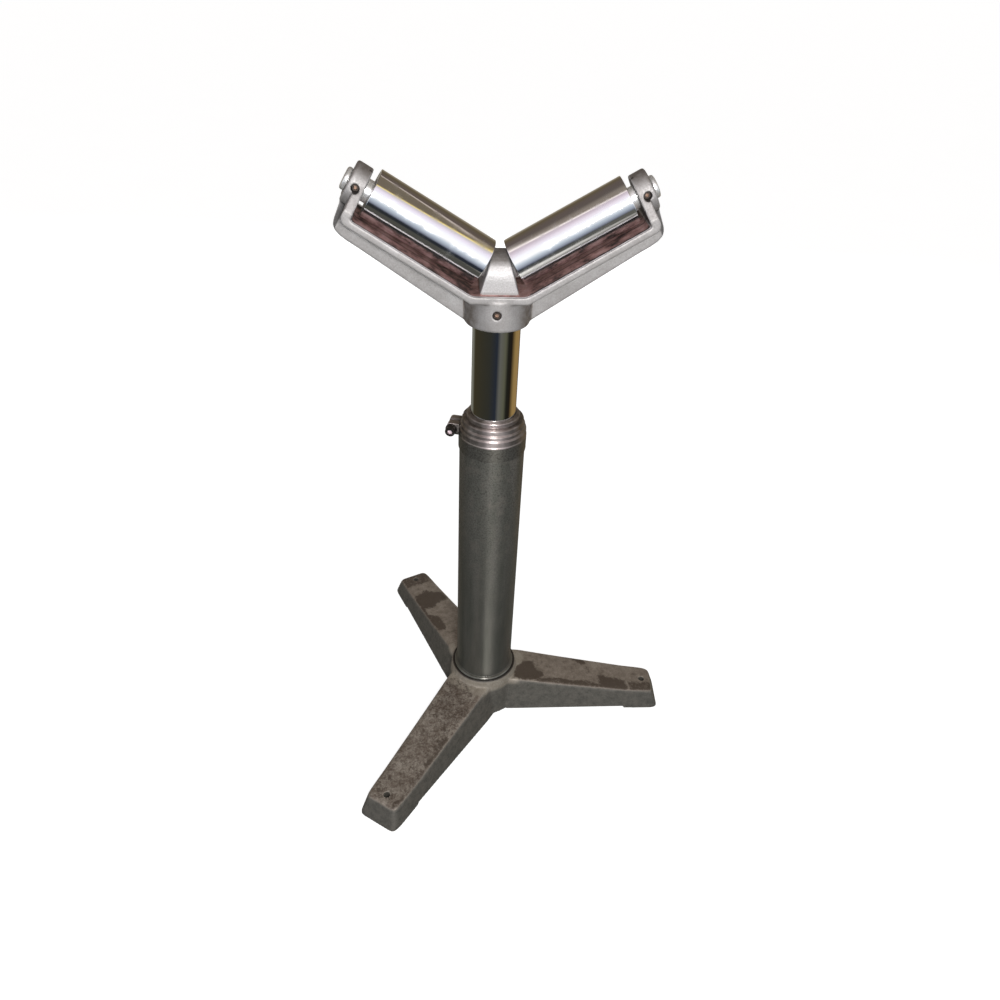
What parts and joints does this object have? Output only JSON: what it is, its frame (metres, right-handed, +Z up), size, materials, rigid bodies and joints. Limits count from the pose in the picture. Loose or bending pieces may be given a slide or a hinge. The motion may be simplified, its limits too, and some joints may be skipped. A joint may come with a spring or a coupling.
{
  "type": "v roller stand",
  "caption": "Height-adjustable floor stand on a three-legged cast base, its clamped column carrying a swivelling head with rollers set in a V to carry round or long stock.",
  "frame": {"origin": "on the floor, under the middle of the box around the whole stand as shown; the column axis stands at x = -55.9 mm, y = -7.4 mm", "axes": "+Z up, along the column; +X to the right along the head, in the plane of both roller axes; +Y to the back, away from the side with the clamp screw head"},
  "size_m": [0.49, 0.5446, 0.8578],
  "materials": {
    "base_iron": "painted casting, worn to brown-grey and mottled dark on the leg tops",
    "tube_paint": "satin dark grey hammered paint",
    "collar_steel": "turned steel, darkened and oily",
    "dark_steel": "black oxide",
    "bright_steel": "bright zinc plate",
    "bearing_steel": "ground bearing steel",
    "column_chrome": "polished chrome",
    "bush_polymer": "plain dark nylon",
    "head_iron": "silver-grey grainy casting, worn bright on the lips",
    "roller_chrome": "polished chrome"
  },
  "bodies": {
    "base": {"base_casting": "base_iron", "outer_column": "tube_paint", "clamp_collar": "collar_steel", "wiper_ring": "collar_steel", "clamp_washer": "bright_steel"},
    "clamp_screw": {"clamp_screw": "dark_steel"},
    "guide": {"lower_guide_bush": "bush_polymer"},
    "head": {"inner_column": "column_chrome", "lower_bush_ring": "dark_steel", "upper_bush_ring": "dark_steel", "head_bracket": "head_iron", "front_head_set_screw": "dark_steel", "back_head_set_screw": "dark_steel", "left_axle": "bright_steel", "left_axle_set_screw": "dark_steel", "left_inner_spacer": "bright_steel", "left_outer_spacer": "bright_steel", "left_inner_bearing_inner_race": "bearing_steel", "left_outer_bearing_inner_race": "bearing_steel", "right_axle": "bright_steel", "right_axle_set_screw": "dark_steel", "right_inner_spacer": "bright_steel", "right_outer_spacer": "bright_steel", "right_inner_bearing_inner_race": "bearing_steel", "right_outer_bearing_inner_race": "bearing_steel"},
    "left_roller": {"left_roller_tube": "roller_chrome", "left_inner_bearing_cup": "bright_steel", "left_inner_bearing_outer_race": "bearing_steel", "left_inner_bearing_ball_cage": "bearing_steel", "left_outer_bearing_cup": "bright_steel", "left_outer_bearing_outer_race": "bearing_steel", "left_outer_bearing_ball_cage": "bearing_steel"},
    "right_roller": {"right_roller_tube": "roller_chrome", "right_inner_bearing_cup": "bright_steel", "right_inner_bearing_outer_race": "bearing_steel", "right_inner_bearing_ball_cage": "bearing_steel", "right_outer_bearing_cup": "bright_steel", "right_outer_bearing_outer_race": "bearing_steel", "right_outer_bearing_ball_cage": "bearing_steel"}
  },
  "joints": [
    {"name": "column_lift", "type": "slide", "parent": "base", "child": "guide", "axis": [0, 0, 1], "range_m": [-0.124, 0.24]},
    {"name": "column_swivel", "type": "hinge", "parent": "guide", "child": "head", "pos_m": [-0.0559, -0.0074, 0.5195], "axis": [0, 0, 1], "continuous": true},
    {"name": "left_roller_spin", "type": "hinge", "parent": "head", "child": "left_roller", "pos_m": [-0.0758, -0.0074, 0.7503], "axis": [-0.8616, 0, 0.5075], "continuous": true},
    {"name": "right_roller_spin", "type": "hinge", "parent": "head", "child": "right_roller", "pos_m": [-0.036, -0.0074, 0.7503], "axis": [0.8616, 0, 0.5075], "continuous": true},
    {"name": "clamp_screw_turn", "type": "hinge", "parent": "base", "child": "clamp_screw", "pos_m": [-0.1083, 0.00566, 0.522], "axis": [-0.2419, -0.9703, 0], "range_deg": [0, 180]}
  ]
}
